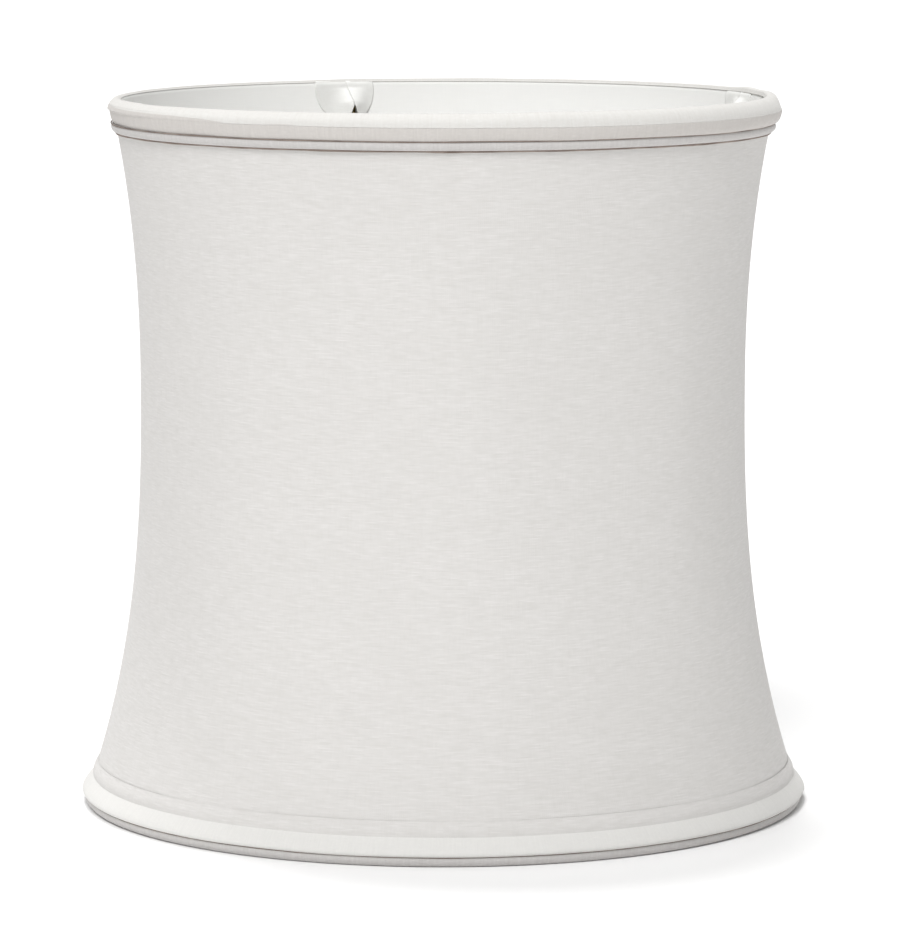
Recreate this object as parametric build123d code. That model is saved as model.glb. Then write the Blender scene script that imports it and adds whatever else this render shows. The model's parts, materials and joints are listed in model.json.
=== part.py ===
from build123d import *
import os
from math import atan, cos, degrees, hypot, sin

# A softback lamp shade in the corset shape, 12 inch top, 13 inch base, 13 inch slant.
# Millimetres. +Z is up, the shade's axis is Z, and Z = 0 is the plane the lower rim rests on.
# Angles go round the axis from the front (-Y) towards the right (+X).
# A radial section is drawn as (radius, height) on the XZ plane and turned about Z.

# Overall shape
overall_height = 322.5
top_ring_radius = 147.7       # middle of the wire
bottom_ring_radius = 161.2    # middle of the wire
waist_radius = 137.8          # outside of the cover at its narrowest
waist_height = 191.0
upper_flare_power = 2.21
lower_flare_power = 2.56

# Wire frame, bare steel, welded
ring_wire = 3.6
rib_wire = 2.4
rib_count = 8
first_rib_angle = 5.0

# Spider fitter, brass plated, welded to the top ring
arm_wire = 3.0
arm_count = 4
first_arm_angle = 18.0
spider_drop = 19.0            # top of the rim to the top of the washer
knee_to_lining = 4.4          # middle of an arm to the lining, where the arm turns level
arm_bend_radius = 6.0
washer_radius = 16.0
washer_hole_radius = 5.2      # clears 3/8 inch threaded lamp pipe
washer_thickness = 1.6

# Fabric thicknesses
cover_thickness = 0.8
lining_thickness = 0.5
binding_thickness = 1.2
roll_skin = 0.6
piping_skin = 0.5
patch_thickness = 1.0

# Trims: an oval roll and a slimmer oval piping, flat side to the cover
top_roll_stand, top_roll_width = 3.4, 7.0
bottom_roll_stand, bottom_roll_width = 3.7, 8.4
piping_stand, piping_width = 2.6, 3.8
binding_leg = 1.0             # how far the binding comes past the ring's middle
top_roll_gap, top_piping_gap = 0.4, 0.1
bottom_roll_gap, bottom_piping_gap = 0.4, 1.0

# Arm patches, cloth collars on the lining where the arms come through
patch_width = 28.0
patch_drop = 25.0
sleeve_reach = 14.0           # along the arm from the ring's middle

# Clearances
cloth_to_rib = 0.3
cloth_to_ring = 0.3
patch_to_lining = 0.2
trim_seat = 0.1
core_fit = 0.1
arm_hole_clearance = 0.3

# Places that follow from the sizes above
binding_radius = ring_wire / 2 + cloth_to_ring + binding_thickness
top_ring_height = overall_height - binding_radius
bottom_ring_height = binding_radius
rib_to_cover = rib_wire / 2 + cloth_to_rib + cover_thickness
rib_to_lining = rib_wire / 2 + cloth_to_rib
top_leg_height = top_ring_height - binding_leg
bottom_leg_height = bottom_ring_height + binding_leg
washer_top = overall_height - spider_drop
washer_bottom = washer_top - washer_thickness
arm_level = washer_top - washer_thickness / 2
rib_step = 360 / rib_count
arm_step = 360 / arm_count
lining_inside = rib_to_cover + rib_to_lining + lining_thickness


def cover_radius(height):
    """Outside of the cover: the waist plus a share of the flare that grows as a power."""
    if height > waist_height:
        flare = top_ring_radius + rib_to_cover - waist_radius
        share = (height - waist_height) / (top_ring_height - waist_height)
        return waist_radius + flare * share**upper_flare_power
    flare = bottom_ring_radius + rib_to_cover - waist_radius
    share = (waist_height - height) / (waist_height - bottom_ring_height)
    return waist_radius + flare * share**lower_flare_power


def cover_slope(height):
    """Change of the cover's radius for each millimetre of height."""
    return cover_radius(height + 0.5) - cover_radius(height - 0.5)


def knee_radius():
    """Where an arm turns level: a fixed distance inside the lining."""
    return cover_radius(arm_level) - lining_inside - knee_to_lining


def profile(inwards, low, high):
    """Spline that stays a fixed radial distance inside the cover, from low to high."""
    steps = 12
    heights = [low + (high - low) * step / steps for step in range(steps + 1)]
    return Spline(*[(cover_radius(h) - inwards, h) for h in heights])


def turn(section, angle=360.0):
    """Solid swept by a radial section about the shade's axis."""
    return revolve(Plane.XZ * section, Axis.Z, angle)


def at_angle(shape, angle):
    """Shape drawn on the XZ plane, moved round to an angle from the front."""
    return Rot(0, 0, angle - 90) * shape


def wall(inwards, thickness, low, high, angle=360.0):
    """Cloth wall: the profile on its outside, a thinner copy inside, closed level at both ends."""
    outer = profile(inwards, low, high)
    inner = profile(inwards + thickness, low, high)
    ends = Line(outer @ 0, inner @ 0) + Line(outer @ 1, inner @ 1)
    return turn(make_face(outer + inner + ends), angle)


def ring(radius, height):
    """Round wire ring."""
    return turn(Pos(radius, height) * Circle(ring_wire / 2))


def rib():
    """Upright wire inside the cover, kept between the bindings but not yet shaped to the rings."""
    path = Plane.XZ * profile(rib_to_cover, bottom_ring_height, top_ring_height)
    wire = sweep(Plane(path @ 0, z_dir=path % 0) * Circle(rib_wire / 2), path=path)
    reach = 2 * max(top_ring_radius, bottom_ring_radius, waist_radius)
    between = Rectangle(reach, top_leg_height - bottom_leg_height, align=(Align.MIN, Align.MIN))
    return wire & extrude(Plane.XZ * Pos(0, bottom_leg_height) * between, rib_wire, both=True)


def arm(radius):
    """Spider arm or the space round it: steeply down from the top ring, then level to the hub."""
    path = Plane.XZ * FilletPolyline(
        (top_ring_radius, top_ring_height),
        (knee_radius(), arm_level),
        (washer_hole_radius, arm_level),
        radius=arm_bend_radius,
    )
    return sweep(Plane(path @ 0, z_dir=path % 0) * Circle(radius), path=path)


def washer():
    """Flat washer that the harp holds, with a plain round hole."""
    disc = Pos(0, 0, washer_bottom) * extrude(Circle(washer_radius), washer_thickness)
    hole = Pos(0, 0, washer_bottom) * extrude(Circle(washer_hole_radius), washer_thickness)
    return disc - hole


def binding(radius, height, leg_height, below):
    """Strip wrapped over a ring: a round band left open where the cloth and ribs enter."""
    middle = Pos(radius, height)
    band = middle * Circle(binding_radius) - middle * Circle(ring_wire / 2 + cloth_to_ring)
    reach = 2 * binding_radius
    side = -1 if below else 1
    opening = Pos(radius, leg_height + side * reach / 2) * Rectangle(2 * reach, reach)
    return turn(band - opening)


def half_rise(stand, width, height):
    """Half the height of an oval that lies along the sloping cover."""
    lean = atan(cover_slope(height))
    return hypot(width / 2 * cos(lean), stand / 2 * sin(lean))


def oval(stand, width, height, inset=0.0):
    """Oval section seated on the cover at a height, or a smaller one inside it."""
    lean = atan(cover_slope(height))
    out = stand / 2 + trim_seat
    middle = Pos(cover_radius(height) + out * cos(lean), height - out * sin(lean))
    tilt = Rot(0, 0, -degrees(lean))
    return middle * tilt * Ellipse(stand / 2 - inset, width / 2 - inset)


def trim(name, stand, width, height, skin):
    """Hollow cloth trim and the filler cord inside it."""
    outside = oval(stand, width, height)
    write(name, turn(outside - oval(stand, width, height, skin)))
    write(name + "_core", turn(oval(stand, width, height, skin + core_fit)))


def trims(rim, leg_height, roll_stand, roll_width, roll_gap, piping_gap, side):
    """Roll next to the rim's binding, then the piping next to the roll."""
    guess = leg_height - side * (roll_gap + roll_width / 2)
    roll_rise = half_rise(roll_stand, roll_width, guess)
    roll_height = leg_height - side * (roll_gap + roll_rise)
    guess = roll_height - side * (roll_rise + piping_gap + piping_width / 2)
    piping_rise = half_rise(piping_stand, piping_width, guess)
    piping_height = roll_height - side * (roll_rise + piping_gap + piping_rise)
    trim(rim + "_roll", roll_stand, roll_width, roll_height, roll_skin)
    trim(rim + "_piping", piping_stand, piping_width, piping_height, piping_skin)


def inside_space(low, high):
    """Everything inside the lining between two heights, less the patch's clearance."""
    edge = profile(lining_inside + patch_to_lining, low, high)
    lines = Line(edge @ 0, (0, low)) + Line((0, low), (0, high)) + Line((0, high), edge @ 1)
    return turn(make_face(edge + lines))


def arm_patch(space, arm_space):
    """Cloth collar: an oval plate on the lining and a short sleeve over the arm."""
    low = top_leg_height - patch_drop
    middle = (top_leg_height + low) / 2
    corner = 0.45 * patch_width
    outline = Pos(0, middle + patch_drop) * RectangleRounded(patch_width, 3 * patch_drop, corner)
    beam = extrude(Plane.YZ * outline, 2 * top_ring_radius)
    plate = wall(lining_inside + patch_to_lining, patch_thickness, low, top_leg_height) & beam
    sleeve_radius = arm_wire / 2 + arm_hole_clearance + patch_thickness
    direction = (knee_radius() - top_ring_radius, 0, arm_level - top_ring_height)
    start = Plane((top_ring_radius, 0, top_ring_height), z_dir=direction)
    sleeve = extrude(start * Circle(sleeve_radius), sleeve_reach) & space
    return plate + sleeve - arm_space


def write(name, shape):
    """One STEP file for each piece, named as the piece."""
    shape.label = name
    export_step(shape, f"parts/{name}.step")


os.makedirs("parts", exist_ok=True)

top_ring = ring(top_ring_radius, top_ring_height)
bottom_ring = ring(bottom_ring_radius, bottom_ring_height)
write("top_ring", top_ring)
write("bottom_ring", bottom_ring)

plain_rib = rib() - top_ring - bottom_ring
for number in range(rib_count):
    write(f"rib_{number + 1}", at_angle(plain_rib, first_rib_angle + number * rib_step))

hub_room = Pos(0, 0, arm_level) * extrude(Circle(washer_radius), arm_wire, both=True)
cover_room = wall(0, cover_thickness + cloth_to_rib, top_leg_height - patch_drop, top_leg_height)
plain_arm = arm(arm_wire / 2) - top_ring - hub_room - cover_room
arm_space = arm(arm_wire / 2 + arm_hole_clearance)
arm_angles = [first_arm_angle + number * arm_step for number in range(arm_count)]
arm_spaces = [at_angle(arm_space, angle) for angle in arm_angles]
patch_space = inside_space(top_leg_height - patch_drop, top_leg_height)
plain_patch = arm_patch(patch_space, arm_space)
for number, angle in enumerate(arm_angles):
    write(f"spider_arm_{number + 1}", at_angle(plain_arm, angle))
    write(f"arm_patch_{number + 1}", at_angle(plain_patch, angle))
write("spider_washer", washer())

# The cover and the lining are each sewn from two half rounds that meet on the side ribs.
side_seam_angle = first_rib_angle - 2 * rib_step
cover_half = wall(0, cover_thickness, bottom_leg_height, top_leg_height, 180)
lining_half = wall(
    rib_to_cover + rib_to_lining, lining_thickness, bottom_leg_height, top_leg_height, 180
)
for place, angle in (("front", side_seam_angle), ("back", side_seam_angle + 180)):
    write(f"cover_{place}", at_angle(cover_half, angle) - top_ring - bottom_ring)
    lining = at_angle(lining_half, angle)
    for space in arm_spaces:
        lining = lining - space
    write(f"lining_{place}", lining)

top_binding = binding(top_ring_radius, top_ring_height, top_leg_height, True)
for space in arm_spaces:
    top_binding = top_binding - space
write("top_binding", top_binding)
write("bottom_binding", binding(bottom_ring_radius, bottom_ring_height, bottom_leg_height, False))

trims("top", top_leg_height, top_roll_stand, top_roll_width, top_roll_gap, top_piping_gap, 1)
trims(
    "bottom",
    bottom_leg_height,
    bottom_roll_stand,
    bottom_roll_width,
    bottom_roll_gap,
    bottom_piping_gap,
    -1,
)
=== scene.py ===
import json
import math

import bmesh
import bpy
import numpy as np
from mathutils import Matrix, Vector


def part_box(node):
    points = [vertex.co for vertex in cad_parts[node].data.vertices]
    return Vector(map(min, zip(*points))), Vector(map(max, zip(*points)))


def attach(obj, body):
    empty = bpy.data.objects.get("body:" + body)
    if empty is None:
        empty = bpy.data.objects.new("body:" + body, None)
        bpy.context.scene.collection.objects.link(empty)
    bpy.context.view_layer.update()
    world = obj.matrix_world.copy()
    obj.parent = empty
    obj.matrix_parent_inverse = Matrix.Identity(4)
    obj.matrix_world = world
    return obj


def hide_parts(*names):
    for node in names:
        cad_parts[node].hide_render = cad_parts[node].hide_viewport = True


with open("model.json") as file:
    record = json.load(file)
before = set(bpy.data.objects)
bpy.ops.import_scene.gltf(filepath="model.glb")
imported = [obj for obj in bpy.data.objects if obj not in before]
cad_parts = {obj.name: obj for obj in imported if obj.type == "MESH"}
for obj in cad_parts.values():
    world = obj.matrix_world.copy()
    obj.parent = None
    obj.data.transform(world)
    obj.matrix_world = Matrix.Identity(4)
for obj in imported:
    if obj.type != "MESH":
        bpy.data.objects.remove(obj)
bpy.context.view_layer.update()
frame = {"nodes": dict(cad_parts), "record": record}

# A softback lamp shade: linen stretched over a wire frame, a white lining, rolled and piped
# trims at both rims, and a brass spider that hangs it on a harp.
# Sizes are millimetres until a mesh is made. Angles go round from the front (-Y) to the right (+X).
MM = 0.001
SAME_PLACE = 1e-6             # points closer than this, in metres, are one point


def span(node, axis):
    """Lowest and highest place of a part along one axis, in millimetres."""
    low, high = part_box(node)
    return low[axis] / MM, high[axis] / MM


# The wire frame, read from the part
TOP_LOW, TOP_HIGH = span("top_ring", 2)
BASE_LOW, BASE_HIGH = span("bottom_ring", 2)
RING_WIRE = TOP_HIGH - TOP_LOW
TOP_Z = (TOP_LOW + TOP_HIGH) / 2
BASE_Z = (BASE_LOW + BASE_HIGH) / 2
TOP_R = span("top_ring", 0)[1] - RING_WIRE / 2
BASE_R = span("bottom_ring", 0)[1] - RING_WIRE / 2

# The cover's curve, as the part has it
WAIST_R = 137.8
WAIST_Z = 191.0
UPPER_POWER = 2.21
LOWER_POWER = 2.56
RIB_TO_COVER = 2.3
COVER_THICK = 0.8
LINING_DEPTH = 3.8            # outside of the cover to the outside of the lining
LINING_THICK = 0.5
BINDING_LEG = 1.0
TOP_LEG_Z = TOP_Z - BINDING_LEG
BASE_LEG_Z = BASE_Z + BINDING_LEG

# Ribs and arms
RIB_COUNT = 8
FIRST_RIB = 5.0
RIB_STEP = 360 / RIB_COUNT
SIDE_SEAM = FIRST_RIB - 2 * RIB_STEP
ARM_COUNT = 4
FIRST_ARM = 18.0
ARM_WIRE = 3.0
ARM_HALFWAY_Z = sum(span("spider_arm_1", 2)) / 2
FACET_DEPTH = 1.3             # how far the cloth draws in between two ribs
FACET_ACROSS = 1.5            # power of the sine wave from rib to rib
FACET_UPWARDS = 0.8           # power of the sine wave from rim to rim


# ---------------------------------------------------------------- shapes

ROUND_STEPS = 1200            # places round a trim where its section is worked out
SECTION_POINTS = 34           # points on the outer face of a trim's section


def rising(value, low, high):
    """0 up to the low value, 1 from the high one, and an even slope between them."""
    return np.clip((value - low) / (high - low), 0, 1)


def bell(distance, width):
    """Bell curve: 1 at no distance, and e to the minus one a width away."""
    return np.exp(-((distance / width) ** 2))


def cover_radius(z):
    """Waist radius plus a share of the flare that grows as a power of the distance from the waist."""
    up = np.clip((z - WAIST_Z) / (TOP_Z - WAIST_Z), 0, None)
    down = np.clip((WAIST_Z - z) / (WAIST_Z - BASE_Z), 0, None)
    upper_flare = TOP_R + RIB_TO_COVER - WAIST_R
    lower_flare = BASE_R + RIB_TO_COVER - WAIST_R
    return WAIST_R + upper_flare * up**UPPER_POWER + lower_flare * down**LOWER_POWER


def facet(angle, z):
    """Cloth pulled between ribs: nothing at a rib or a rim, deepest halfway between them."""
    between = np.abs(np.sin(np.radians(angle - FIRST_RIB) * RIB_COUNT / 2)) ** FACET_ACROSS
    height = np.sin(np.pi * rising(z, BASE_LEG_Z, TOP_LEG_Z))
    return FACET_DEPTH * between * height**FACET_UPWARDS


def wander(angle, seed, depth, lowest=2, highest=14):
    """Slow unevenness of hand work: a sum of sine waves round the shade with seeded sizes and phases."""
    rng = np.random.default_rng(seed)
    total = np.zeros_like(angle)
    for waves in range(lowest, highest):
        size, phase = rng.uniform(0.3, 1.0), rng.uniform(0, 2 * np.pi)
        total = total + size / waves**0.5 * np.sin(waves * np.radians(angle) + phase)
    return depth * total / 2


def place(radius, angle, z):
    """Points from radius, angle and height, in metres."""
    turn = np.radians(angle)
    return np.stack([radius * np.sin(turn), -radius * np.cos(turn), z + 0 * radius], -1) * MM


def quads(rows, cols, wrap_rows, wrap_cols):
    """Corner numbers of a grid's faces, with the last row or column joined to the first where asked."""
    r, c = np.meshgrid(
        np.arange(rows if wrap_rows else rows - 1),
        np.arange(cols if wrap_cols else cols - 1),
        indexing="ij",
    )
    corners = [(r, c), (r + 1, c), (r + 1, c + 1), (r, c + 1)]
    points = [(a % rows) * cols + b % cols for a, b in corners]
    flat = [a * (cols + wrap_cols) + b for a, b in corners]
    return np.stack(points, -1).reshape(-1, 4), np.stack(flat, -1).reshape(-1, 4)


def make_mesh(name, parts, material):
    """One object from several grids. Each part is (points, flat places in metres, wrap, wrap)."""
    points, flats, faces, flat_faces = [], [], [], []
    base = flat_base = 0
    for grid, flat, wrap_rows, wrap_cols in parts:
        face, flat_face = quads(grid.shape[0], grid.shape[1], wrap_rows, wrap_cols)
        points.append(grid.reshape(-1, 3))
        flats.append(flat.reshape(-1, 2))
        faces.append(face + base)
        flat_faces.append(flat_face + flat_base)
        base += points[-1].shape[0]
        flat_base += flats[-1].shape[0]
    points, flats = np.concatenate(points), np.concatenate(flats)
    faces, flat_faces = np.concatenate(faces), np.concatenate(flat_faces)
    mesh = bpy.data.meshes.new(name)
    mesh.from_pydata(points, [], faces)
    weave = mesh.uv_layers.new(name="weave")
    weave.data.foreach_set("uv", flats[flat_faces.ravel()].astype(np.float32).ravel())
    mesh.materials.append(material)
    mesh.shade_smooth()
    piece = bpy.data.objects.new(name, mesh)
    bpy.context.scene.collection.objects.link(piece)
    return piece


def weld(piece):
    """Merges points that lie together, so that a piece's grids become one closed skin."""
    work = bmesh.new()
    work.from_mesh(piece.data)
    bmesh.ops.remove_doubles(work, verts=work.verts, dist=SAME_PLACE)
    work.to_mesh(piece.data)
    work.free()
    return piece


def finish_piece(piece, slot, *nodes):
    """The piece rides on the one body and its plain parts are hidden; slot is not used."""
    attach(piece, "root")
    if nodes:
        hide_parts(*nodes)
    return piece


def strip(a, b):
    """A one-face-wide grid between two lines of points."""
    return np.stack([a, b], 0)


def cloth_grids(outer, inner, flat):
    """Thin closed cloth: an outer grid, an inner grid facing the other way, and its four edges."""
    back, back_flat = inner[::-1], flat[::-1]
    edges = [
        (strip(inner[0], outer[0]), strip(flat[0], flat[0])),
        (strip(outer[-1], inner[-1]), strip(flat[-1], flat[-1])),
        (strip(outer[:, 0], inner[:, 0]), strip(flat[:, 0], flat[:, 0])),
        (strip(inner[:, -1], outer[:, -1]), strip(flat[:, -1], flat[:, -1])),
    ]
    parts = [(outer, flat, False, False), (back, back_flat, False, False)]
    return parts + [(grid, line, False, False) for grid, line in edges]


def shell(name, outer, inner, flat, material):
    """One piece of thin closed cloth."""
    return weld(make_mesh(name, cloth_grids(outer, inner, flat), material))


def round_piece(name, section, material):
    """Closed ring: section(angle) gives radii and heights round a closed outline at each angle."""
    angle = np.linspace(0, 360, ROUND_STEPS, endpoint=False)
    radius, z = section(angle[:, None])
    points = place(radius, angle[:, None] + 0 * radius, z)
    steps = np.hypot(np.diff(radius[0], append=radius[0, :1]), np.diff(z[0], append=z[0, :1]))
    across = np.concatenate([[0], np.cumsum(steps)]) * MM
    along = np.linspace(0, 2 * np.pi, ROUND_STEPS + 1) * radius.mean() * MM
    flat = np.stack(np.meshgrid(along, across, indexing="ij"), -1)
    return make_mesh(name, [(points, flat, True, True)], material)


# ---------------------------------------------------------------- materials

def linear(hex_colour):
    """An sRGB hex colour as linear red, green, blue and alpha."""
    value = [int(hex_colour[i:i + 2], 16) / 255 for i in (1, 3, 5)]
    return [v / 12.92 if v <= 0.04045 else ((v + 0.055) / 1.055) ** 2.4 for v in value] + [1.0]


def add(tree, kind, inputs=None, **settings):
    """Adds one node: settings go on the node, inputs are numbers, colours or links."""
    node = tree.nodes.new(kind)
    for name, value in settings.items():
        setattr(node, name, value)
    for name, value in (inputs or {}).items():
        if isinstance(value, bpy.types.NodeSocket):
            tree.links.new(value, node.inputs[name])
        else:
            node.inputs[name].default_value = value
    return node


def new_material(name):
    """An empty node material and its shader."""
    material = bpy.data.materials.new(name)
    material.use_nodes = True
    tree = material.node_tree
    tree.nodes.clear()
    shader = add(tree, "ShaderNodeBsdfPrincipled")
    output = add(tree, "ShaderNodeOutputMaterial")
    tree.links.new(shader.outputs["BSDF"], output.inputs["Surface"])
    return material, tree, shader


def streaks(tree, place_socket, across_u, across_v, detail=2.0):
    """Noise whose grains measure across_u by across_v millimetres on the cloth."""
    size = (1 / (across_u * MM), 1 / (across_v * MM), 1.0)
    moved = add(tree, "ShaderNodeMapping", {"Vector": place_socket, "Scale": size})
    return add(tree, "ShaderNodeTexNoise", {
        "Vector": moved.outputs["Vector"], "Scale": 1.0, "Detail": detail, "Roughness": 0.5,
    }, noise_dimensions="2D").outputs["Fac"]


def feed(tree, node, values):
    """Gives a node's numbered inputs their links or values."""
    for index, value in values:
        if isinstance(value, bpy.types.NodeSocket):
            tree.links.new(value, node.inputs[index])
        else:
            node.inputs[index].default_value = value


def mix_colour(tree, factor, a, b):
    """Two colours mixed by a factor. The node keeps its colours in its inputs 6 and 7 and its output 2."""
    node = add(tree, "ShaderNodeMix", data_type="RGBA")
    feed(tree, node, [(0, factor), (6, a), (7, b)])
    return node.outputs[2]


def ramp(tree, value, low, high, out_low=0.0, out_high=1.0):
    """A value stretched from one range to another and kept inside it."""
    return add(tree, "ShaderNodeMapRange", {
        "Value": value, "From Min": low, "From Max": high, "To Min": out_low, "To Max": out_high,
    }, clamp=True).outputs["Result"]


def maths(tree, operation, a, b):
    """One sum, product or other operation on two values."""
    node = add(tree, "ShaderNodeMath", operation=operation)
    feed(tree, node, enumerate((a, b)))
    return node.outputs["Value"]


ROW_START = 61.0
ROW_GAP = 7.31
WARP_HEIGHT = 0.35            # height of the tight warp threads beside the weft's


def thread_rows(tree, along, across, length, pitch):
    """Tone of each thread: threads lie side by side, pitch mm apart, and each has its own noise along it.
    Returns that tone and the thread's round profile from edge to edge. ROW_START and ROW_GAP only keep
    the threads' noise apart."""
    place_across = maths(tree, "DIVIDE", across, pitch * MM)
    row = maths(tree, "FLOOR", place_across, 0.0)
    start = add(tree, "ShaderNodeTexWhiteNoise", {"W": row}, noise_dimensions="1D").outputs["Value"]
    shifted = maths(tree, "ADD", maths(tree, "DIVIDE", along, length * MM),
                    maths(tree, "MULTIPLY", start, ROW_START))
    vector = add(tree, "ShaderNodeCombineXYZ", {"X": shifted, "Y": maths(tree, "MULTIPLY", row, ROW_GAP)})
    tone = add(tree, "ShaderNodeTexNoise", {
        "Vector": vector.outputs["Vector"], "Scale": 1.0, "Detail": 1.5, "Roughness": 0.5,
    }, noise_dimensions="2D").outputs["Fac"]
    share = maths(tree, "FRACT", place_across, 0.0)
    profile = maths(tree, "SINE", maths(tree, "MULTIPLY", share, math.pi), 0.0)
    return tone, profile


def woven(name, thread, shadow, weft, warp, weft_share, slub, relief, roughness, sheen):
    """Plain-woven cloth on the piece's own flat map.
    weft and warp are (length of an even stretch, pitch) of the threads in mm; weft_share is how much of
    the pattern the weft makes; slub is how strongly thick stretches show; relief is in mm."""
    material, tree, shader = new_material(name)
    flat = add(tree, "ShaderNodeUVMap", uv_map="weave").outputs["UV"]
    sides = add(tree, "ShaderNodeSeparateXYZ", {"Vector": flat})
    u, v = sides.outputs["X"], sides.outputs["Y"]
    weft_tone, weft_round = thread_rows(tree, u, v, *weft)
    warp_tone, warp_round = thread_rows(tree, v, u, *warp)
    threads = maths(tree, "ADD", maths(tree, "MULTIPLY", weft_tone, weft_share),
                    maths(tree, "MULTIPLY", warp_tone, 1 - weft_share))
    thick = maths(tree, "MULTIPLY", ramp(tree, weft_tone, 0.62, 0.80), slub)
    cloud = streaks(tree, flat, across_u=60.0, across_v=34.0)
    tone = ramp(tree, maths(tree, "ADD", threads, thick), 0.25, 0.78)
    base = mix_colour(tree, tone, linear(shadow), linear(thread))
    shade = mix_colour(tree, ramp(tree, cloud, 0.35, 0.65, 0.0, 0.15), base, linear(shadow))
    tree.links.new(shade, shader.inputs["Base Color"])
    weft_height = maths(tree, "MULTIPLY", weft_round, maths(tree, "ADD", threads, thick))
    height = maths(tree, "ADD", weft_height, maths(tree, "MULTIPLY", warp_round, WARP_HEIGHT))
    bump = add(tree, "ShaderNodeBump", {"Height": height, "Strength": 1.0, "Distance": relief * MM})
    tree.links.new(bump.outputs["Normal"], shader.inputs["Normal"])
    shader.inputs["Roughness"].default_value = roughness
    shader.inputs["Sheen Weight"].default_value = sheen
    shader.inputs["Sheen Roughness"].default_value = 0.5
    shader.inputs["Specular IOR Level"].default_value = 0.25
    return material


def linen_cover():
    """Bleached linen, plain woven, stretched: matt, off-white, with level slubs in the weft.
    Real threads, about 0.4 mm apart, are too fine to show, so they are drawn 0.6 and 0.8 mm apart."""
    return woven("bleached_linen", "#D8D6D4", "#CDCBC8", weft=(8.0, 0.6), warp=(7.0, 0.8),
                 weft_share=0.78, slub=0.08, relief=0.05, roughness=0.92, sheen=0.1)


def trim_linen(name, thread, shadow):
    """The same linen cut across for the trims, so that its threads run over the roll. Its darker copies
    are painted shade and its lighter copy is painted light.
    """
    return woven(name, thread, shadow, weft=(2.5, 0.7), warp=(9.0, 0.6),
                 weft_share=0.4, slub=0.1, relief=0.03, roughness=0.92, sheen=0.1)


def lining_cloth():
    """White lining, finely woven: smooth with a soft sheen and hardly any thread.
    Real threads are about 0.2 mm apart, drawn 0.5 mm apart so that a trace of them shows."""
    return woven("white_lining", "#FAFAF8", "#F7F7F5", weft=(9.0, 0.5), warp=(9.0, 0.5),
                 weft_share=0.5, slub=0.1, relief=0.02, roughness=0.7, sheen=0.08)


def patch_cloth():
    """White cotton of the arm patches, softer and a little fuzzier than the lining.
    Real threads are about 0.3 mm apart, drawn 0.5 mm apart so that a trace of them shows."""
    return woven("patch_cotton", "#EEEEEC", "#E9E9E6", weft=(3.0, 0.5), warp=(3.0, 0.5),
                 weft_share=0.5, slub=0.1, relief=0.03, roughness=0.85, sheen=0.08)


def painted_seam_shadow():
    """Painted shadow for the joints of the trims: a taupe line, matt and unevenly dark, where the
    overhangs shade them.
    """
    material, tree, shader = new_material("painted_seam_shadow")
    flat = add(tree, "ShaderNodeUVMap", uv_map="weave").outputs["UV"]
    # Uneven darkness along the painted shadow line
    wear_and_shade = ramp(tree, streaks(tree, flat, across_u=14.0, across_v=4.0, detail=3.0), 0.35, 0.65)
    colour = mix_colour(tree, wear_and_shade, linear("#6E6058"), linear("#968980"))
    tree.links.new(colour, shader.inputs["Base Color"])
    shader.inputs["Roughness"].default_value = 0.9
    return material


def plated(name, bright, dull, roughness):
    """Drawn wire with a thin plating: fine lines along it, dull patches and uneven gloss."""
    material, tree, shader = new_material(name)
    place_socket = add(tree, "ShaderNodeTexCoord").outputs["Object"]
    stains = add(tree, "ShaderNodeTexNoise", {"Vector": place_socket, "Scale": 180.0, "Detail": 4.0})
    grain = add(tree, "ShaderNodeTexNoise", {"Vector": place_socket, "Scale": 1400.0, "Detail": 2.0})
    wear_and_shade = ramp(tree, stains.outputs["Fac"], 0.38, 0.66)
    tree.links.new(mix_colour(tree, wear_and_shade, linear(bright), linear(dull)), shader.inputs["Base Color"])
    gloss = ramp(tree, stains.outputs["Fac"], 0.3, 0.7, roughness - 0.08, roughness + 0.12)
    tree.links.new(gloss, shader.inputs["Roughness"])
    bump = add(tree, "ShaderNodeBump", {
        "Height": grain.outputs["Fac"], "Strength": 1.0, "Distance": 0.01 * MM,
    })
    tree.links.new(bump.outputs["Normal"], shader.inputs["Normal"])
    shader.inputs["Metallic"].default_value = 1.0
    return material


def brass_plating():
    """Brass-plated steel of the spider: olive gold, dulled."""
    return plated("brass_plating", "#A08C55", "#8A7846", roughness=0.4)


def frame_steel():
    """Galvanised steel of the rings and ribs: grey, slightly mottled."""
    return plated("frame_steel", "#B4B6B7", "#9C9EA0", roughness=0.42)


def filler_cotton():
    """Undyed cotton filler cord inside the rolls and pipings: matt and fibrous."""
    material, tree, shader = new_material("filler_cotton")
    place_socket = add(tree, "ShaderNodeTexCoord").outputs["Object"]
    fibres = add(tree, "ShaderNodeTexNoise", {"Vector": place_socket, "Scale": 900.0, "Detail": 3.0})
    colour = mix_colour(tree, fibres.outputs["Fac"], linear("#CFC7B4"), linear("#E6E0D2"))
    tree.links.new(colour, shader.inputs["Base Color"])
    bump = add(tree, "ShaderNodeBump", {
        "Height": fibres.outputs["Fac"], "Strength": 1.0, "Distance": 0.2 * MM,
    })
    tree.links.new(bump.outputs["Normal"], shader.inputs["Normal"])
    shader.inputs["Roughness"].default_value = 0.95
    return material


LINEN = linen_cover()
# One trim linen in copies of different brightness. The roll, piping and bottom binding copies are darker
# as painted shade, where those trims face down or lie under an overhang. The bottom roll's copy is a
# little lighter as painted light, where it faces up.
RIM_CLOTH = trim_linen("rim_linen", "#DAD9D6", "#D2D0CC")
ROLL_CLOTH_PAINTED_SHADE = trim_linen("roll_linen_painted_shade", "#CCC8C4", "#C2BEBA")
HEM_CLOTH_PAINTED_LIGHT = trim_linen("hem_linen_painted_light", "#DDDCD9", "#D7D6D3")
EDGE_CLOTH_PAINTED_SHADE = trim_linen("edge_linen_painted_shade", "#C9C7C5", "#BDBAB8")
LINING = lining_cloth()
PATCH = patch_cloth()
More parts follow.
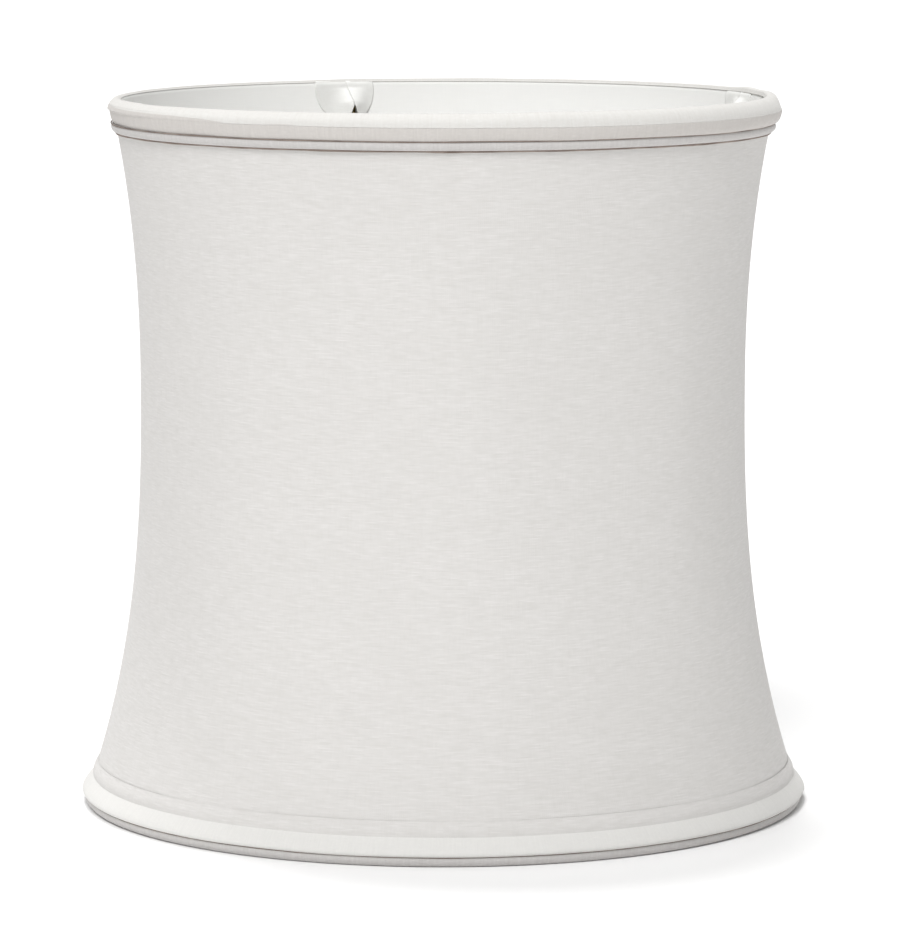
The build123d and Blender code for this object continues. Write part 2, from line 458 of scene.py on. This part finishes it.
# Dark line laid in the trims' joints as painted shadow
SEAM = painted_seam_shadow()


# ---------------------------------------------------------------- cover and lining

COVER_TURN_IN = 0.7           # how deep the cover's edges roll in at a side seam
COVER_TURN_WIDTH = 1.1
LINING_TURN_IN = 0.5
LINING_TURN_WIDTH = 1.3
LINING_FACET = 0.4            # the lining draws out between ribs by this share of the cover's facets


def turned_in(steps, depth, width):
    """How deep a half's cloth is turned in at its side seams: a bell curve of the distance from each."""
    from_edge = np.minimum(steps, 1 - steps) * math.pi * WAIST_R
    return depth * bell(from_edge, width)


def wall_grid(angles, heights, depth, roll_in):
    """Points of a cloth wall a fixed distance inside the cover's curve, following the ribs' facets."""
    angle, z = np.meshgrid(angles, heights, indexing="ij")
    radius = cover_radius(z) - depth - facet(angle, z) - roll_in[:, None]
    return place(radius, angle, z)


def flat_map(angles, rise):
    """Where each point of a half lies on the flat cloth, in metres: round the waist, up by each rise."""
    up = np.concatenate([[0], np.cumsum(rise)]) * MM
    return np.stack(np.meshgrid(np.radians(angles) * WAIST_R * MM, up, indexing="ij"), -1)


def cover_panel(name, first, node):
    """Half of the cover, from one side seam to the other, its edges rolled in at the seams."""
    steps = np.linspace(0, 1, 301)
    angles = first + 180 * steps
    heights = np.linspace(BASE_LEG_Z, TOP_LEG_Z, 101)
    roll_in = turned_in(steps, COVER_TURN_IN, COVER_TURN_WIDTH)
    outer = wall_grid(angles, heights, 0, roll_in)
    inner = wall_grid(angles, heights, COVER_THICK, roll_in)
    slant = np.hypot(np.diff(cover_radius(heights)), np.diff(heights))
    piece = shell(name, outer, inner, flat_map(angles, slant), LINEN)
    finish_piece(piece, "linen_cover", node)


cover_panel("linen_front", SIDE_SEAM, "cover_front")
cover_panel("linen_back", SIDE_SEAM + 180, "cover_back")

LINING_EDGE = 2.4             # lining's face to the middle of the ring it is turned over
LINING_EASE = 7.5             # the wall leaves the cover's curve this far from a ring's middle
LINING_TURN = 18              # points on the lining's turn over a ring


def lining_line():
    """The lining's inner face in section: the wall, then a part circle over each ring's inner side."""
    heights = np.linspace(BASE_Z + LINING_EASE, TOP_Z - LINING_EASE, 72)
    wall = np.stack([cover_radius(heights) - LINING_DEPTH - LINING_THICK, heights], -1)
    turn = np.radians(np.linspace(178, 94, LINING_TURN))
    over = np.stack([TOP_R + LINING_EDGE * np.cos(turn), TOP_Z + LINING_EDGE * np.sin(turn)], -1)
    turn = np.radians(np.linspace(-94, -172, LINING_TURN))
    under = np.stack([BASE_R + LINING_EDGE * np.cos(turn), BASE_Z + LINING_EDGE * np.sin(turn)], -1)
    return np.concatenate([under, wall, over])


def line_normals(line):
    """Unit vectors at right angles to a section line, to its left."""
    way = np.gradient(line, axis=0)
    way = way / np.linalg.norm(way, axis=1, keepdims=True)
    return np.stack([-way[:, 1], way[:, 0]], -1)


def lining_panel(name, first, node):
    """Half of the lining: the section line carried round, drawn out slightly between the ribs."""
    line = lining_line()
    back = line - line_normals(line) * LINING_THICK
    steps = np.linspace(0, 1, 241)
    tuck = turned_in(steps, LINING_TURN_IN, LINING_TURN_WIDTH)
    angles = first + 180 * steps
    grids = []
    for edge in (line, back):
        angle, radius = np.meshgrid(angles, edge[:, 0], indexing="ij")
        z = np.broadcast_to(edge[:, 1], radius.shape)
        grids.append(place(radius + LINING_FACET * facet(angle, z) + tuck[:, None], angle, z))
    rise = np.linalg.norm(np.diff(line, axis=0), axis=1)
    piece = shell(name, grids[1], grids[0], flat_map(angles, rise), LINING)
    finish_piece(piece, "lining_cloth", node)


lining_panel("lining_cloth_front", SIDE_SEAM, "lining_front")
lining_panel("lining_cloth_back", SIDE_SEAM + 180, "lining_back")


# ---------------------------------------------------------------- trims

SEAMS = (SIDE_SEAM, SIDE_SEAM + 180)
ARMS = tuple(FIRST_ARM + 360 / ARM_COUNT * number for number in range(ARM_COUNT))
LAP = 84.0                    # where the ends of each strip are lapped, beside the right-hand seam
LAP_DEPTH = 0.35
TUCK_DEPTH = 0.07

# Seeds of the trims' unevenness, and how far each strays up or down
TOP_ROLL_SEED = 11
BOTTOM_ROLL_SEED = 21
TOP_PIPING_SEED = 31
BOTTOM_PIPING_SEED = 41
TOP_BINDING_SEED = 51
BOTTOM_BINDING_SEED = 61
ROLL_DRIFT = 0.22
BUMP_DRIFT = 0.10


def away(angle, centre):
    """Signed degrees from a place round the shade, from -180 to 180."""
    return (angle - centre + 180) % 360 - 180


def swell(angle, places, width):
    """Soft bumps at some places round the shade: the sum of bell curves a given width across."""
    return sum(bell(away(angle, centre), width) for centre in places)


def gathers(angle):
    """Fine tucks beside the side seams: waves 1.2 degrees long under a bell curve 11 degrees wide."""
    return np.sin(np.radians(angle) * 300) * swell(angle, SEAMS, 11.0)


def lap(angle):
    """The end of a strip laid over its start: a step up that dies away along the strip."""
    past = away(angle, LAP)
    return np.where(past > 0, np.exp(-np.clip(past, 0, 90) / 6.0), 0) * rising(past, 0, 0.6)


def hand_made(angle, seed, depth):
    """How much fuller a trim is than drawn: slow and quick unevenness, tucks and the lap."""
    return wander(angle, seed, depth, 2, 40) + TUCK_DEPTH * gathers(angle) + LAP_DEPTH * lap(angle)


def drift(angle, seed, depth):
    """How far a trim strays up or down: slow waves, with the seed after the one for its fullness."""
    return wander(angle, seed + 1, depth, 2, 22)


# The top roll and the binding over it share one outline, about a middle inside the cover
RIM_R = TOP_R - 1.0
RIM_Z = TOP_Z - 3.4
RIM_OUT = 5.6                 # how far the outline stands out from its middle
RIM_UP = TOP_HIGH - RIM_Z + 1.5
RIM_DOWN = 6.1
RIM_SQUARE = 0.6              # power of the outline below its middle: squarer as it falls
RIM_LEAN = 0.2                # share by which the outline draws in towards its foot
INNER_LEG = 140.0             # degrees round the ring, from outside over the top, where the binding ends
EDGE_TURN = 4.0               # degrees up the outline where the binding's edge lies
BINDING_THICK = 0.45
BINDING_INNER = LINING_EDGE + 0.08   # the binding's inner face to the middle of its ring
TUCK_UNDER = 0.04             # how far the roll lies below the binding's face at its edge
ROLL_TOP = 24.0               # degrees up the outline where the roll starts, under the binding
ROLL_FOOT = -80.0             # degrees where its outside ends
ROLL_UNEVEN = 0.14
ROLL_UNDER = BINDING_THICK - 0.1     # how deep the roll goes under the binding
TRIM_BACK = 0.1               # the back of a trim lies up to this far off the cover

# The rim is fuller in some places, by millimetres
FULLER_RIGHT = 0.6
FINER_ALL_ROUND = 0.2
FULLER_SEAM = 0.8             # over the right-hand seam, and as much finer over the left-hand one


def rim_outline(turn):
    """Oval from below the roll to the top of the rim, rounder above, and squarer and leaning in below."""
    across, up = np.cos(np.radians(turn)), np.sin(np.radians(turn))
    upper, lower = np.clip(up, 0, None), np.clip(-up, 0, None)
    squarer = np.where(turn > 0, 1.0, RIM_SQUARE)
    down = lower**RIM_SQUARE
    lean_in = 1 - RIM_LEAN * down
    return RIM_R + RIM_OUT * across**squarer * lean_in, RIM_Z + RIM_UP * upper - RIM_DOWN * down


def fuller_side(angle):
    """The rim is fuller on the right, by the sine of the angle, thickest over the right-hand seam and
    drawn tight over the left-hand one."""
    right = FULLER_RIGHT * np.sin(np.radians(angle)) - FINER_ALL_ROUND
    return right + FULLER_SEAM * (swell(angle, SEAMS[1:], 8) - swell(angle, SEAMS[:1], 22))


def roll_fullness(angle):
    """How much fuller the top roll is than drawn, all its unevenness together."""
    return hand_made(angle, TOP_ROLL_SEED, ROLL_UNEVEN) + fuller_side(angle)


def top_roll_section(angle):
    """Roll: the rim's outline, tucked in under the binding, and the cover's curve behind it."""
    turn = np.linspace(ROLL_TOP, ROLL_FOOT, 44)
    under = rising(turn, EDGE_TURN - 7, EDGE_TURN) ** 1.5
    deeper = rising(turn, EDGE_TURN, EDGE_TURN + 5)
    radius, z = rim_outline(turn)
    fuller = roll_fullness(angle) * np.cos(np.radians(turn)) ** 0.5
    radius = radius - TUCK_UNDER * under - ROLL_UNDER * deeper + fuller * (1 - deeper)
    z = z + drift(angle, TOP_ROLL_SEED, ROLL_DRIFT) * rising(-turn, 0, 60)
    back_z = np.linspace(z[:, -1], TOP_LEG_Z - 0.8, 12).T[:, 1:]
    back = cover_radius(back_z) + TRIM_BACK
    return np.concatenate([radius, back], 1)[:, ::-1], np.concatenate([z, back_z], 1)[:, ::-1]


def binding_face():
    """Reach and lean of the top binding's outer face about the ring's middle. It follows the rim's outline
    over the top, then draws in to the lining by half a cosine wave over 24 degrees. The third line is 1 at
    the binding's low edge and falls to 0 in 30 degrees."""
    turn = np.linspace(EDGE_TURN, 90, 30)
    radius, z = rim_outline(turn)
    out, up = radius - TOP_R, z - TOP_Z
    reach, lean = np.hypot(out, up), np.degrees(np.arctan2(up, out))
    top_lean = lean[-1]
    leg_lean = np.linspace(top_lean, INNER_LEG, 9)[1:]
    still_full = (1 + np.cos(np.pi * rising(leg_lean, top_lean, top_lean + 24))) / 2
    leg_reach = BINDING_INNER + BINDING_THICK
    reach = np.concatenate([reach, leg_reach + (reach[-1] - leg_reach) * still_full])
    low_edge = np.concatenate([1 - rising(turn, EDGE_TURN, EDGE_TURN + 30), 0 * leg_lean])
    return reach, np.concatenate([lean, leg_lean]), low_edge


def top_binding_section(angle):
    """Binding: its outer face, fuller at the arms and as full as the roll at its low edge, and its inner
    face, which lies on the roll outside and on the lining's edge inside."""
    reach, lean, low_edge = binding_face()
    inner = BINDING_INNER + (reach - BINDING_THICK - BINDING_INNER) * (1 - rising(lean, 10, 60))
    crown = np.clip(np.sin(np.radians(lean + 30)), 0, 1)
    arm_lump = 0.9 * swell(angle, ARMS[1:2], 4.5) + 0.35 * swell(angle, (ARMS[0],) + ARMS[2:], 4.5)
    fuller = hand_made(angle, TOP_BINDING_SEED, 0.12) + arm_lump + fuller_side(angle)
    roll_below = roll_fullness(angle) * low_edge
    outer = reach + fuller * crown * (1 - low_edge) + roll_below
    inner = inner + 0.8 * roll_below
    reach, lean = np.concatenate([outer, inner[:, ::-1]], 1), np.concatenate([lean, lean[::-1]])
    return TOP_R + reach * np.cos(np.radians(lean)), TOP_Z + reach * np.sin(np.radians(lean))


def bump_section(low, high, stand, rise_power, fall_power, seed, uneven):
    """A soft ridge on the cover between two heights: a share of the way up to one power, times the
    share left to another, so that its fullest place can lie low or high."""
    peak = rise_power / (rise_power + fall_power)
    fullest = peak**rise_power * (1 - peak) ** fall_power

    def section(angle):
        share = (1 - np.cos(np.linspace(0, np.pi, SECTION_POINTS))) / 2
        shape = share**rise_power * (1 - share) ** fall_power / fullest
        z = low + (high - low) * share + drift(angle, seed, uneven)
        stand_here = stand + hand_made(angle, seed, uneven)
        outer = cover_radius(z) + TRIM_BACK + (stand_here - TRIM_BACK) * shape
        inner = cover_radius(z[:, 1:-1]) + TRIM_BACK / 2
        return np.concatenate([inner[:, ::-1], outer], 1), np.concatenate([z[:, 1:-1][:, ::-1], z], 1)

    return section


def stuffed(name, section, cloth, *nodes):
    """A stuffed trim in place of its plain cloth and its filler cord."""
    piece = round_piece(name, section, cloth)
    finish_piece(piece, "trim_linen", *nodes)


def binding(name, section, cloth, node):
    """A rim's binding in place of its plain part."""
    piece = round_piece(name, section, cloth)
    finish_piece(piece, "trim_linen", node)


def bottom_binding_section(angle):
    """Binding under the bottom ring: part of a circle round the wire, from 17 degrees above level outside
    to 130 degrees below it, at least 0.2 mm thick."""
    lean = np.radians(np.linspace(17, -130, SECTION_POINTS))
    uneven = np.clip(hand_made(angle, BOTTOM_BINDING_SEED, 0.06), -0.3, 0.4)
    outer = RING_WIRE / 2 + 1.5 + uneven * np.cos(lean) ** 2
    inner = np.minimum(BINDING_INNER, outer - 0.2)
    reach, lean = np.concatenate([outer[:, ::-1], inner], 1), np.concatenate([lean[::-1], lean])
    return BASE_R + reach * np.cos(lean), BASE_Z + reach * np.sin(lean)


def seam_shadow_line(name, z, out, thick, seed, along, stray):
    """A round dark thread in a joint, standing in as painted shadow under the trim above it. It strays up
    and down with the trim whose seed is given as along."""
    turn = np.linspace(0, 2 * np.pi, 10, endpoint=False)

    def section(angle):
        up = drift(angle, along, stray)
        uneven = 1 + wander(angle, seed, 0.25, 5, 60)
        radius = cover_radius(z + up) + out + thick * uneven * np.cos(turn)
        return radius, z + up + thick * uneven * np.sin(turn)

    finish_piece(round_piece(name, section, SEAM), "trim_linen")


PIPING_TOP = RIM_Z - RIM_DOWN + 0.95
PIPING_LOW = PIPING_TOP - 4.2
BASE_JOINT = BASE_Z + 1.15    # between the bottom binding and the bottom roll
BASE_GROOVE = BASE_Z + 9.9    # top of the bottom roll

top_ridge = bump_section(
    PIPING_LOW, PIPING_TOP, stand=2.3, rise_power=0.36, fall_power=0.36,
    seed=TOP_PIPING_SEED, uneven=BUMP_DRIFT)
base_ridge = bump_section(
    BASE_JOINT, BASE_GROOVE, stand=3.1, rise_power=0.42, fall_power=1.4,
    seed=BOTTOM_ROLL_SEED, uneven=BUMP_DRIFT)
faint_ridge = bump_section(
    BASE_GROOVE - 2.0, BASE_GROOVE + 6.0, stand=0.85, rise_power=2.0, fall_power=2.0,
    seed=BOTTOM_PIPING_SEED, uneven=0.06)

stuffed("top_roll_cloth", top_roll_section, ROLL_CLOTH_PAINTED_SHADE, "top_roll", "top_roll_core")
stuffed("top_piping_cloth", top_ridge, EDGE_CLOTH_PAINTED_SHADE, "top_piping", "top_piping_core")
stuffed("bottom_roll_cloth", base_ridge, HEM_CLOTH_PAINTED_LIGHT, "bottom_roll", "bottom_roll_core")
stuffed("bottom_piping_cloth", faint_ridge, LINEN, "bottom_piping", "bottom_piping_core")
binding("top_binding_cloth", top_binding_section, RIM_CLOTH,
        "top_binding")
binding("bottom_binding_cloth", bottom_binding_section, EDGE_CLOTH_PAINTED_SHADE,
        "bottom_binding")
# Painted shadow lines in the joints under the top roll, under the top piping and over the bottom binding
seam_shadow_line("shadow_under_top_roll", PIPING_TOP - 0.25, out=1.95, thick=0.24,
          seed=71, along=TOP_ROLL_SEED, stray=ROLL_DRIFT)
seam_shadow_line("shadow_under_top_piping", PIPING_LOW - 0.1, out=0.5, thick=0.6,
          seed=81, along=TOP_PIPING_SEED, stray=BUMP_DRIFT)
seam_shadow_line("shadow_over_bottom_binding", BASE_JOINT - 0.1, out=0.9, thick=0.35,
          seed=91, along=BOTTOM_ROLL_SEED, stray=BUMP_DRIFT)


# ---------------------------------------------------------------- arm patches

PATCH_R = 15.5
PATCH_ASIDE = 2.6             # its middle lies to one side of the arm
PATCH_DROP = 4.6              # from the rim's top down to the middle of the round patch
EXIT_DROP = 17.5              # from the rim's top down to where the arm comes out
EXIT_Z = TOP_HIGH + 1.5 - EXIT_DROP
PATCH_THICK = 0.4
HOLE_R = 1.6                  # hole in the patch where the arm comes out
PATCH_TOP = 16.0              # degrees round the ring, back from the lining's end, where a patch ends
PATCH_LIFT = 0.06             # least height off the lining
WIRE_SHARE = 0.62
RIDGE_WIDTH = 5.2             # of the bell curve that the patch makes over the arm

# The slit's two edges, as distances from its middle line at three distances from the hole
SLIT_AT = (HOLE_R, 4.6, 16.0)
UNDER_EDGE = (1.3, -0.2, -0.6)
LAP_EDGE = (1.3, 0.1, -2.0)

# The patches are drawn about a straight line from the top ring's middle down through this point, which
# leans in about 12 degrees further than the arm itself
LINE_Z = ARM_HALFWAY_Z
LINE_R = cover_radius(LINE_Z) - LINING_DEPTH - LINING_THICK - 4.4
SLEEVE = (3.0, 10.6)          # from the ring's middle along that line, first and last
SLEEVE_OUTER = 1.9
SLEEVE_INNER = 1.6
SLEEVE_FLARE = 0.25           # how much wider its last 2 mm open
SLEEVE_GIRTH = 12.0


def arm_sleeve(centre):
    """Cloth drawn round the arm under the patch: a thin tube, its wall carried round a straight line."""
    fall = np.array([LINE_R - TOP_R, 0, LINE_Z - TOP_Z])
    fall = fall / np.linalg.norm(fall)
    side, front = np.array([0, 1.0, 0]), np.array([-fall[2], 0, fall[0]])
    down = np.linspace(*SLEEVE, 12)
    there_and_back = np.concatenate([down, down[::-1]])
    wall = np.concatenate([0 * down + SLEEVE_OUTER, 0 * down + SLEEVE_INNER])
    wall = wall + SLEEVE_FLARE * rising(there_and_back, SLEEVE[1] - 2, SLEEVE[1])
    turns = np.linspace(0, 2 * np.pi, 28, endpoint=False)
    around, along = np.meshgrid(turns, there_and_back, indexing="ij")
    start = np.array([TOP_R, 0, TOP_Z])
    outwards = np.cos(around)[..., None] * front + np.sin(around)[..., None] * side
    points = start + along[..., None] * fall + wall[None, :, None] * outwards
    turned = place(np.hypot(points[..., 0], points[..., 1]),
                   centre + np.degrees(np.arctan2(points[..., 1], points[..., 0])), points[..., 2])
    girth = np.linspace(0, SLEEVE_GIRTH, len(turns) + 1)
    closed = np.append(there_and_back, there_and_back[0])
    return turned, np.stack(np.meshgrid(girth, closed, indexing="ij"), -1) * MM, True, True


def hand_cut(turn, seed):
    """A round outline cut by hand: three slow waves and seven quick ones round it, with seeded phases."""
    rng = np.random.default_rng(seed)
    slow, quick = rng.uniform(0, 6), rng.uniform(0, 6)
    return 1 + 0.02 * np.sin(3 * turn + slow) + 0.012 * np.sin(7 * turn + quick)


def patch_reach(turn, rim_above):
    """Distance from the hole to the round outline, or to the rim where that is nearer."""
    middle_up = EXIT_DROP - PATCH_DROP
    towards = middle_up * np.cos(turn) + PATCH_ASIDE * np.sin(turn)
    to_outline = towards + np.sqrt(PATCH_R**2 - middle_up**2 - PATCH_ASIDE**2 + towards**2)
    level, out_of_reach = 0.02, 1e3
    to_rim = np.where(np.cos(turn) > level, rim_above / np.clip(np.cos(turn), level, None), out_of_reach)
    return np.minimum(to_outline, to_rim)


def slit_turn(far, step):
    """Each point's turn about the hole, evenly from one edge of the slit round to the other. An edge's
    distance from the slit's middle line over the distance from the hole is the sine of its turn."""
    edges = np.interp(far, SLIT_AT, UNDER_EDGE), np.interp(far, SLIT_AT, LAP_EDGE)
    first, last = (np.arcsin(np.clip(edge / far, -0.95, 0.95)) for edge in edges)
    return first + (2 * np.pi - first - last) * step


def over_arm(far, radius, z):
    """How far the cloth stands off the lining to go over the arm: the line's own distance from the lining,
    up to 6 mm, and a share of the wire's thickness that grows away from the hole."""
    line_r = TOP_R - (TOP_Z - z) * (TOP_R - LINE_R) / (TOP_Z - LINE_Z)
    closed = rising(far, HOLE_R + 1, HOLE_R + 5)
    over = np.clip(radius - line_r + WIRE_SHARE * ARM_WIRE * closed, 0, 6)
    return over * rising(z, EXIT_Z - 3, EXIT_Z)


def patch_folds(share, step, far, across, up):
    """Fullness on both sides of the arm, and a fold that falls away from the lapping side of the slit."""
    puff = 0.6 * bell(np.abs(across) - 6.0, 4.0) * (1 - share**3)
    from_slit = np.clip(-across - np.interp(far, SLIT_AT, LAP_EDGE), 0, None)
    fold = 0.9 * np.exp(-from_slit / 2.2) * rising(up, 0, 4) * (step > 0.5)
    return puff + fold


def petal_patch(name, centre, seed, node):
    """Round patch slit from the rim down to the arm. Each point is a distance and a turn from the hole
    where the arm comes out; the turn runs from one side of the slit, down round the arm, to the other.
    The cloth stands off the lining as a bell curve across the arm, and its top goes under the binding.
    One side of the slit laps over the other."""
    line = lining_line()
    normal = line_normals(line)
    along = np.concatenate([[0], np.cumsum(np.linalg.norm(np.diff(line, axis=0), axis=1))])
    exit_along = np.interp(EXIT_Z, line[LINING_TURN:, 1], along[LINING_TURN:])
    top_along = along[-1] - LINING_EDGE * math.radians(PATCH_TOP)
    share, step = np.meshgrid(np.linspace(0, 1, 26), np.linspace(0, 1, 110), indexing="ij")
    turn = 2 * np.pi * step
    edge = patch_reach(turn, top_along - exit_along) * hand_cut(turn, seed)
    far = HOLE_R + (edge - HOLE_R) * share
    turn = slit_turn(far, step)
    across, up = far * np.sin(turn), far * np.cos(turn)
    at = np.clip(exit_along + up, 0, top_along)
    radius, z = (np.interp(at, along, line[:, side]) for side in (0, 1))
    out_r, out_z = (np.interp(at, along, normal[:, side]) for side in (0, 1))
    tucked = 1 - rising(at, top_along - 5, top_along)
    folds = patch_folds(share, step, far, across, up) * tucked
    lift = PATCH_LIFT + over_arm(far, radius, z) * bell(across, RIDGE_WIDTH) + folds
    grids = []
    for stand in (lift + PATCH_THICK, lift):
        turn_round = centre + np.degrees(across / (radius - stand))
        grids.append(place(radius + out_r * stand, turn_round, z + out_z * stand))
    flat = np.stack([across, up], -1) * MM
    piece = weld(make_mesh(name, cloth_grids(grids[0], grids[1], flat) + [arm_sleeve(centre)], PATCH))
    finish_piece(piece, "patch_cloth", node)


for number, centre in enumerate(ARMS, 1):
    petal_patch(f"patch_petals_{number}", centre, seed=100 + number, node=f"arm_patch_{number}")


# ---------------------------------------------------------------- camera, light, floor

def aim_camera():
    """A long lens a little above the shade, looking slightly down."""
    data = bpy.data.cameras.new("camera")
    data.sensor_width = 36.0
    data.lens = 197.8
    data.shift_x = 0.0073
    data.clip_end = 100.0
    camera = bpy.data.objects.new("camera", data)
    camera.location = (0, -2.3115, 0.4478)
    camera.rotation_euler = (math.radians(90 - 7.248), 0, 0)
    bpy.context.scene.collection.objects.link(camera)
    bpy.context.scene.camera = camera


def soft_sun(name, from_angle, elevation, softness, strength):
    """Even light from far away; from_angle is where it comes from, round from the front to the right."""
    data = bpy.data.lights.new(name, "SUN")
    data.angle = math.radians(softness)
    data.energy = strength
    lamp = bpy.data.objects.new(name, data)
    lamp.rotation_euler = (math.radians(90 - elevation), 0, math.radians(from_angle))
    bpy.context.scene.collection.objects.link(lamp)


def pale_floor(half):
    """Square floor, half its side given in metres, matt and nearly white."""
    corners = [(-half, -half, 0), (half, -half, 0), (half, half, 0), (-half, half, 0)]
    mesh = bpy.data.meshes.new("floor")
    mesh.from_pydata(corners, [], [(0, 1, 2, 3)])
    material, _, shader = new_material("pale_floor")
    shader.inputs["Base Color"].default_value = linear("#FAFAFA")
    shader.inputs["Roughness"].default_value = 0.9
    shader.inputs["Specular IOR Level"].default_value = 0.1
    mesh.materials.append(material)
    floor = bpy.data.objects.new("floor", mesh)
    bpy.context.scene.collection.objects.link(floor)


def studio():
    """Pale floor, even white surroundings, a soft light from above the front, a little to the left, and
    one from high behind."""
    world = bpy.data.worlds.new("studio")
    bpy.context.scene.world = world
    world.use_nodes = True
    back = world.node_tree.nodes["Background"]
    back.inputs["Color"].default_value = (1, 0.996, 0.992, 1)
    back.inputs["Strength"].default_value = 0.39
    soft_sun("key", from_angle=-14, elevation=50, softness=26, strength=1.95)
    soft_sun("top", from_angle=-160, elevation=75, softness=12, strength=1.5)
    pale_floor(40.0)
    bpy.context.scene.view_settings.view_transform = "Standard"


# ---------------------------------------------------------------- finishes of the plain parts

def finish_nodes():
    """Gives each part that shows its own material."""
    by_slot = {
        "frame_wire": frame_steel(),
        "spider_brass": brass_plating(),
        "filler_cord": filler_cotton(),
        "patch_cloth": PATCH,
        "linen_cover": LINEN,
        "trim_linen": RIM_CLOTH,
        "lining_cloth": LINING,
    }
    for row in frame["record"]["subparts"]:
        mesh = frame["nodes"][row["node"]].data
        mesh.materials.clear()
        mesh.materials.append(by_slot[row["material_slot"]])


finish_nodes()
aim_camera()
studio()
